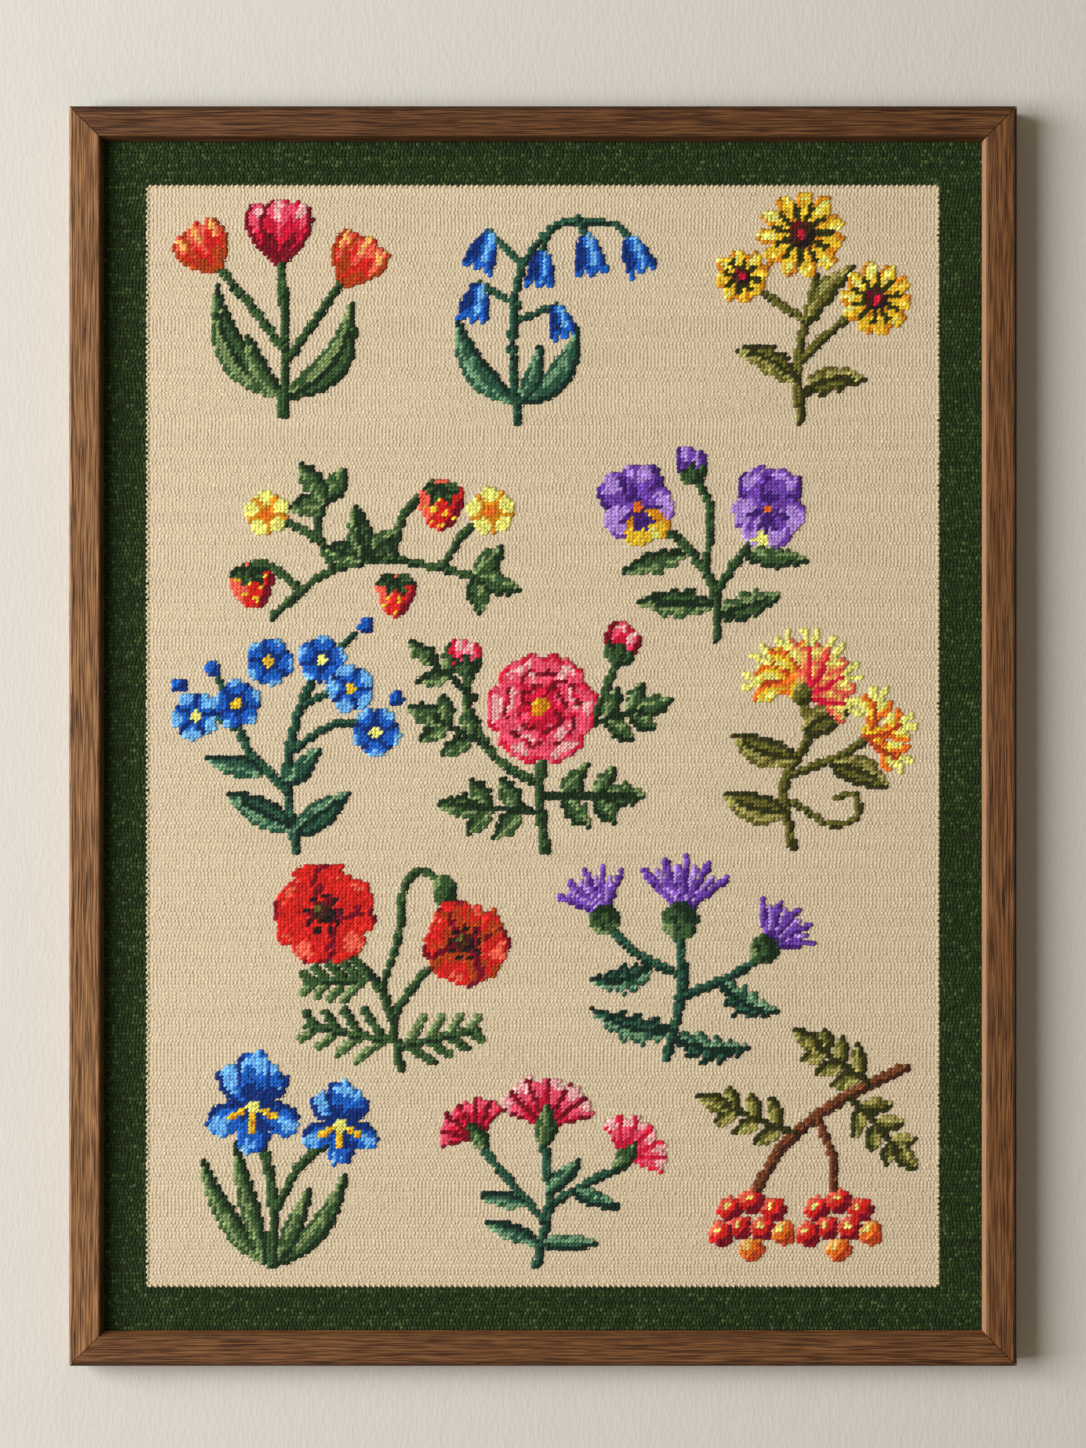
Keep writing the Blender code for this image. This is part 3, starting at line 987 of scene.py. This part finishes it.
class Finish:
    """A material with a node tree, built from wires."""

    def __init__(self, name, roughness, **constants):
        self.material = bpy.data.materials.new(name)
        self.material.use_nodes = True
        self.tree = self.material.node_tree
        self.shader = self.tree.nodes["Principled BSDF"]
        self.shader.inputs["Roughness"].default_value = roughness
        for socket, value in constants.items():
            self.shader.inputs[socket.replace("_", " ")].default_value = value
        self.place = self.node("ShaderNodeTexCoord", output="Object")

    def node(self, kind, settings=None, values=None, output=0):
        made = self.tree.nodes.new(kind)
        for name, value in (settings or {}).items():
            if name == "stops":
                marks = made.color_ramp.elements
                marks[0].position, marks[1].position = value[0][0], value[-1][0]
                for position, _ in value[1:-1]:
                    marks.new(position)
                for mark, (_, colour) in zip(marks, value):
                    mark.color = (*colour, 1)
            else:
                setattr(made, name, value)
        for name, value in (values or {}).items():
            self.join(value, made.inputs[name])
        return Wire(self, made.outputs[output])

    def join(self, value, socket):
        if isinstance(value, Wire):
            self.tree.links.new(value.socket, socket)
        else:
            socket.default_value = value

    def stretched(self, scale, turn=(0, 0, 0)):
        """The object's own places, turned and then scaled, for a pattern with a direction."""
        turned = self.node("ShaderNodeMapping", None, {"Vector": self.place, "Rotation": turn})
        return self.node("ShaderNodeMapping", None, {"Vector": turned, "Scale": scale})

    def noise(self, vector, scale=1.0, detail=2.0, roughness=0.5):
        values = {"Vector": vector, "Scale": scale, "Detail": detail, "Roughness": roughness}
        return self.node("ShaderNodeTexNoise", None, values)

    def waves(self, way, pitch):
        """Straight waves across X or Z that come back once in a pitch."""
        values = {"Vector": self.place, "Scale": 2 * math.pi / pitch / 20}
        return self.node("ShaderNodeTexWave", {"bands_direction": way}, values)

    def point(self, *wires):
        """A place from its x, y and z."""
        return self.node("ShaderNodeCombineXYZ", None, dict(enumerate(wires)))

    def mix(self, share, first, second, kind="MIX"):
        """Two colours in one, by a share of the second."""
        settings = {"data_type": "RGBA", "blend_type": kind}
        return self.node("ShaderNodeMix", settings, {0: share, 6: first, 7: second}, output=2)

    def dimmed(self, colour, tone):
        """A colour times a grey value."""
        return self.node("ShaderNodeVectorMath", {"operation": "SCALE"}, {0: colour, "Scale": tone})

    def bump(self, height, distance, strength=1.0):
        values = {"Height": height, "Distance": distance, "Strength": strength}
        return self.node("ShaderNodeBump", None, values)

    def feed(self, **wires):
        for socket, value in wires.items():
            self.join(value, self.shader.inputs[socket.replace("_", " ")])
        return self.material


# %% [markdown]
# ## Wool
# Wool has no shine of its own, but its loose hairs catch light at grazing angles, which Sheen gives. The
# colour comes from the mesh's own yarn shades. Fine noise, stretched along the strand, makes the fibres in
# both colour and bump, and a slow drift over the cloth stands for uneven light and age.

# %% Spin the wool
def wool(name, slant, depth):
    finish = Finish(name, 0.92, Sheen_Weight=0.06, Sheen_Roughness=0.5, Specular_IOR_Level=0.12)
    yarn = finish.node("ShaderNodeAttribute", {"attribute_name": "yarn"}, output="Color")
    fibres = finish.noise(finish.stretched((5200, 5200, 800), (0, -slant, 0)), detail=2.5, roughness=0.6)
    fuzz = finish.noise(finish.place, 2600, 2.0)
    drift = finish.noise(finish.place, 21, 2.0)
    tone = 0.80 + 0.22 * fibres + 0.10 * fuzz + 0.08 * drift
    colour = finish.dimmed(yarn, tone)
    rough = 0.84 + 0.14 * fuzz
    relief = finish.bump(fibres + 0.5 * fuzz, depth)
    return finish.feed(Base_Color=colour, Roughness=rough, Normal=relief)


ground_wool = wool("ground_wool", GROUND_SLANT, 0.00012)
motif_wool = wool("motif_wool", MOTIF_SLANT, 0.00014)
for piece in stitched:
    piece.data.materials.append(motif_wool if piece.name.endswith("_sprig") else ground_wool)
print("wool on", len(stitched), "pieces")

# %% [markdown]
# ## Canvas
# Only specks of the canvas show. It gets the fine over-and-under of cotton threads from two waves, and its
# colour from the mesh: painted shade, a darker copy of the yarn over each gap.

# %% Weave the canvas finish
def canvas_with_painted_gap_shade():
    finish = Finish("canvas_with_painted_gap_shade", 0.95, Specular_IOR_Level=0.2)
    # The mesh's colour is the gaps' painted shade
    shade = finish.node("ShaderNodeAttribute", {"attribute_name": "yarn"}, output="Color")
    lint = finish.noise(finish.place, 1800, 3.0)
    colour = finish.dimmed(shade, 0.75 + 0.5 * lint)
    relief = finish.bump(finish.waves("Z", STITCH) + finish.waves("X", STITCH) + lint, 0.0001)
    return finish.feed(Base_Color=colour, Roughness=0.85 + 0.13 * lint, Normal=relief)


canvas.data.materials.append(canvas_with_painted_gap_shade())

# %% [markdown]
# ## Stained wood
# The moulding is a brown open-grained wood with a dull wax sheen. Its grain runs along each rail, so each
# pattern is drawn out along the rail, up to sixty times, and starts at another place for each. A broad
# figure, growth lines and fine hairs make the grain. Over it lie pale threads, and dark open pores as short
# dashes that are also dents. The edges are paler from rubbing, and on the left rail more so, as a painted
# highlight. A thin dark line lies beside the outer edge, and the outer round of the right, top and bottom
# rails is darkened by painted shade.
# The left rail is paler than the others in the photo, and the top one is the darkest and reddest. The lips'
# inner sides carry painted light and shade: the right and bottom ones are painted paler, the right one
# most, and the left and top ones darker.

# %% Stain the rails
RAIL_FRONT_W = 0.0139
OUTER_X = cad_box[1][0]
TOP_Z, LOW_Z = cad_box[1][2], cad_box[0][2]
WOOD_DARK = (0.060, 0.022, 0.007)
WOOD_MIDDLE = (0.225, 0.098, 0.033)
WOOD_PALE = (0.430, 0.225, 0.092)
# Rubbing on the edges, and also a painted highlight on the left rail's arris
WOOD_RUB_AND_HIGHLIGHT = (0.47, 0.30, 0.17)
# The paler colour painted on the lips' inner sides where the light falls on them
PAINTED_LIP_LIGHT_COLOUR = (0.580, 0.316, 0.170)


def solid(colour, share=1.0):
    """A colour for a socket, dimmed by a share."""
    return (*(share * c for c in colour), 1)


def stained_wood(name, along_z, sign, outer, tone, red, start, painted_edge_shade, lip, rub_and_highlight=0.42, painted_lip_light=0.0):
    """sign and outer say where the rail's outer edge lies, so that masks can follow its edges."""
    finish = Finish(name, 0.55, Coat_Weight=0.0, Specular_IOR_Level=0.25)
    x, deep, z = [finish.node("ShaderNodeSeparateXYZ", None, {0: finish.place}, output=k) for k in range(3)]
    along, side = (z, x) if along_z else (x, z)
    sway = finish.noise(finish.point(along * 22 + start, side * 60), 1.0, 2.0)
    across = side + 0.0020 * sway

    def lay(along_scale, across_scale, detail):
        """Noise that is drawn out along the rail."""
        spot = finish.point(along * along_scale + start, across * across_scale, deep * across_scale)
        return finish.noise(spot, 1.0, detail, 0.55)

    grain = 0.12 * lay(10, 260, 2.0) + 0.34 * lay(26, 900, 1.5) + 0.54 * lay(55, 1350, 1.0)
    grain = grain.ramp(0.30, 0.70)
    pores = lay(34, 1900, 0.0).ramp(0.60, 0.64)
    threads = lay(30, 1900, 0.0).ramp(0.62, 0.68)
    stops = [(0.0, WOOD_DARK), (0.42, WOOD_MIDDLE), (1.0, WOOD_PALE)]
    colour = finish.node("ShaderNodeValToRGB", {"stops": stops}, {0: grain})
    colour = finish.mix(threads * 0.38, colour, solid(WOOD_PALE))
    colour = finish.mix(pores * 0.60, colour, solid(WOOD_DARK, 0.55))
    inward = (outer - side) * sign
    rub = 0.35 + 0.65 * finish.noise(finish.place, 160, 3.0).ramp(0.35, 0.75)
    # Edges paler from rubbing. The left rail's larger share also stands for a painted highlight where the
    # light catches its arris.
    arris = (inward - 0.0005).size().ramp(0.0008, 0.0) + (inward - RAIL_FRONT_W).size().ramp(0.0007, 0.0)
    colour = finish.mix(arris * rub * rub_and_highlight, colour, solid(WOOD_RUB_AND_HIGHLIGHT))
    # A thin dark line beside the outer edge, and painted shade on the outer round of the right, top and
    # bottom rails
    dark_line_and_painted_shade = (inward - 0.0018).size().ramp(0.0005, 0.0) * 0.55 + inward.ramp(0.0020, 0.0008) * painted_edge_shade
    colour = finish.mix(dark_line_and_painted_shade, colour, solid(WOOD_DARK, 0.5))
    colour = finish.mix(1.0, colour, solid((1, red, red * red), tone), "MULTIPLY")
    # Painted light and shade on the lip's inner side: lip above 1 paints it paler, as lit, and below 1
    # darker, as in shade. The paler colour mixed in after it is painted light too.
    painted_lip_mask = inward.ramp(RAIL_FRONT_W + 0.0001, RAIL_FRONT_W + 0.0005)
    colour = finish.dimmed(colour, 1 + (lip - 1) * painted_lip_mask)
    colour = finish.mix(painted_lip_mask * painted_lip_light, colour, solid(PAINTED_LIP_LIGHT_COLOUR))
    rough = 0.62 - 0.16 * grain + 0.2 * pores
    relief = finish.bump(grain * 0.35 - pores, 0.00022, 0.8)
    return finish.feed(Base_Color=colour, Roughness=rough, Normal=relief)


# Each rail: its finish, does it stand, its outer edge's side and place, then tone, redness, start, painted
# shade on the outer round, painted lip light and shade, rubbing with a painted highlight, and the share of
# painted lip light colour
RAILS = {
    "rail_top": ("top_rail_wood", False, 1, TOP_Z, 0.48, 0.79, 3.1, 0.6, 0.80),
    "rail_right": ("right_rail_wood", True, 1, OUTER_X, 0.69, 0.85, 17.7, 1.0, 1.8, 0.42, 0.8),
    "rail_bottom": ("bottom_rail_wood", False, -1, LOW_Z, 0.62, 0.83, 31.3, 0.6, 1.5, 0.42, 0.06),
    "rail_left": ("left_rail_wood", True, -1, -OUTER_X, 1.02, 0.96, 47.9, 0.0, 0.45, 0.75),
}


def dress(node, material):
    """Gives a CAD node its finish."""
    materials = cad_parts[node].data.materials
    materials.clear()
    materials.append(material)


for node, looks in RAILS.items():
    dress(node, stained_wood(*looks))
print("stained", ", ".join(RAILS))

# %% [markdown]
# ## Hardboard
# The board behind the cloth is pressed wood fibre. Its plain back shows the faint square print of the
# screen that it was pressed on, and short fibres in paler and darker brown.

# %% Press the board
SCREEN_PITCH = 0.0016
FIBRE_DARK = (0.150, 0.082, 0.040)
FIBRE_PALE = (0.330, 0.205, 0.115)


def hardboard():
    finish = Finish("hardboard", 0.8, Specular_IOR_Level=0.3)
    fibres = finish.noise(finish.stretched((260, 260, 1500), (0, 0.3, 0)), detail=4.0, roughness=0.7)
    crossed = finish.noise(finish.stretched((1500, 260, 260), (0, 0.2, 0)), detail=4.0, roughness=0.7)
    cloud = finish.noise(finish.place, 9, 3.0)
    mesh_print = finish.waves("X", SCREEN_PITCH) * finish.waves("Z", SCREEN_PITCH)
    tone = (0.5 * fibres + 0.5 * crossed).ramp(0.3, 0.7)
    colour = finish.mix(tone, solid(FIBRE_DARK), solid(FIBRE_PALE))
    colour = finish.dimmed(colour, 0.72 + 0.4 * cloud + 0.16 * mesh_print)
    relief = finish.bump(mesh_print + 0.4 * tone, 0.0002, 0.7)
    return finish.feed(Base_Color=colour, Roughness=0.72 + 0.16 * fibres, Normal=relief)


dress("back_board", hardboard())

# %% [markdown]
# ## What moves with what, and what replaces the plain cloth
# Everything is fixed together, so every piece rides on the one body. The flat CAD cloth stays for
# collisions, but the canvas and its stitches stand for it.

# %% Join the pieces to the frame
for piece in [canvas] + stitched:
    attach(piece, "root")
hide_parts("needlepoint")

# %% [markdown]
# ## The wall
# The frame hangs on a pale warm wall with hardly any texture. It is not part of the sampler. Seen from
# behind it is clear, so the back of the frame can be looked at, and it holds back no light.

# %% Put up the wall
WALL_HALF = 3.0
WALL_BEHIND = 0.0006
WALL_PAINT = (0.700, 0.662, 0.600)


def wall_finish():
    """Matt paint that is clear from behind and to the light."""
    finish = Finish("painted_wall", 0.9, Specular_IOR_Level=0.2)
    mottle = finish.noise(finish.place, 60, 5.0, 0.65)
    brushed = finish.noise(finish.stretched((700, 700, 240)), detail=3.0)
    colour = finish.dimmed(WALL_PAINT, 0.96 + 0.05 * mottle + 0.03 * brushed)
    material = finish.feed(Base_Color=colour, Normal=finish.bump(brushed + mottle, 0.0004, 0.5))
    behind = finish.node("ShaderNodeNewGeometry", output="Backfacing")
    lit = finish.node("ShaderNodeLightPath", output="Is Shadow Ray")
    clear = finish.node("ShaderNodeBsdfTransparent")
    paint = Wire(finish, finish.shader.outputs[0])
    open_wall = behind.maths("MAXIMUM", behind, lit)
    both = finish.node("ShaderNodeMixShader", None, {0: open_wall, 1: paint, 2: clear})
    finish.join(both, finish.tree.nodes["Material Output"].inputs["Surface"])
    return material


corners = [(x * WALL_HALF, WALL_BEHIND, z * WALL_HALF) for x, z in ((-1, -1), (1, -1), (1, 1), (-1, 1))]
plane = bpy.data.objects.new("wall", bpy.data.meshes.new("wall"))
plane.data.from_pydata(corners, [], [(0, 1, 2, 3)])
plane.data.materials.append(wall_finish())
bpy.context.scene.collection.objects.link(plane)

# %% [markdown]
# ## Light
# A large window-like light stands to the left and a little above the middle. It throws the frame's soft
# shadow to the right and below, darkens the green beside the left and top lips, and lights the right lip's
# inner side. The room gives a weak even light. Two dim lights behind the wall show the back.

# %% Light the room
def area_light(name, at, aim, size, power, colour):
    light = bpy.data.lights.new(name, "AREA")
    light.shape, light.size, light.size_y = "RECTANGLE", size[0], size[1]
    light.energy, light.color = power, colour
    holder = bpy.data.objects.new(name, light)
    bpy.context.scene.collection.objects.link(holder)
    holder.location = at
    away = np.subtract(at, aim)
    pitch = math.acos(away[2] / np.linalg.norm(away))
    holder.rotation_euler = (pitch, 0, math.atan2(away[1], away[0]) + math.pi / 2)


MIDDLE = (0, 0, (TOP_Z + LOW_Z) / 2)
ROOM_COLOUR = (1.0, 0.82, 0.60, 1)
ROOM_LIGHT, ROOM_SEEN = 0.225, 0.70
area_light("window", (-1.93, -1.77, -0.07), MIDDLE, (2.1, 1.6), 89, (0.965, 1.005, 1.035))
area_light("back_left", (-1.2, 1.6, 0.5), MIDDLE, (1.0, 1.0), 16, (1.0, 0.98, 0.95))
area_light("back_right", (1.3, 1.4, -0.7), MIDDLE, (1.0, 1.0), 10, (1.0, 0.98, 0.95))
room = bpy.data.worlds.new("room")
bpy.context.scene.world = room
room.use_nodes = True
glow = room.node_tree.nodes["Background"]
seen = room.node_tree.nodes.new("ShaderNodeLightPath")
level = room.node_tree.nodes.new("ShaderNodeMapRange")
room.node_tree.links.new(seen.outputs["Is Camera Ray"], level.inputs["Value"])
level.inputs["To Min"].default_value, level.inputs["To Max"].default_value = ROOM_LIGHT, ROOM_SEEN
room.node_tree.links.new(level.outputs[0], glow.inputs["Strength"])
glow.inputs["Color"].default_value = ROOM_COLOUR
bpy.context.scene.view_settings.view_transform = "Standard"

# %% [markdown]
# ## Camera
# The photo looks straight at the wall. Its height takes in 672 mm at the front of the frame, and the frame
# hangs a few millimetres low in it. From 1.7 m the lips' inner sides show as wide as they do there.

# %% Set the camera
VIEW_HEIGHT = 0.6716
DISTANCE = 1.70
HANGS_LOW = 0.0056
FILM = 36.0
camera = bpy.data.objects.new("camera", bpy.data.cameras.new("camera"))
bpy.context.scene.collection.objects.link(camera)
camera.data.sensor_width = FILM
camera.data.lens = FILM * DISTANCE / VIEW_HEIGHT
camera.location = (0.0, cad_box[0][1] - DISTANCE, MIDDLE[2] + HANGS_LOW)
camera.rotation_euler = (math.radians(90), 0, 0)
bpy.context.scene.camera = camera
print("lens", round(camera.data.lens, 1), "mm")
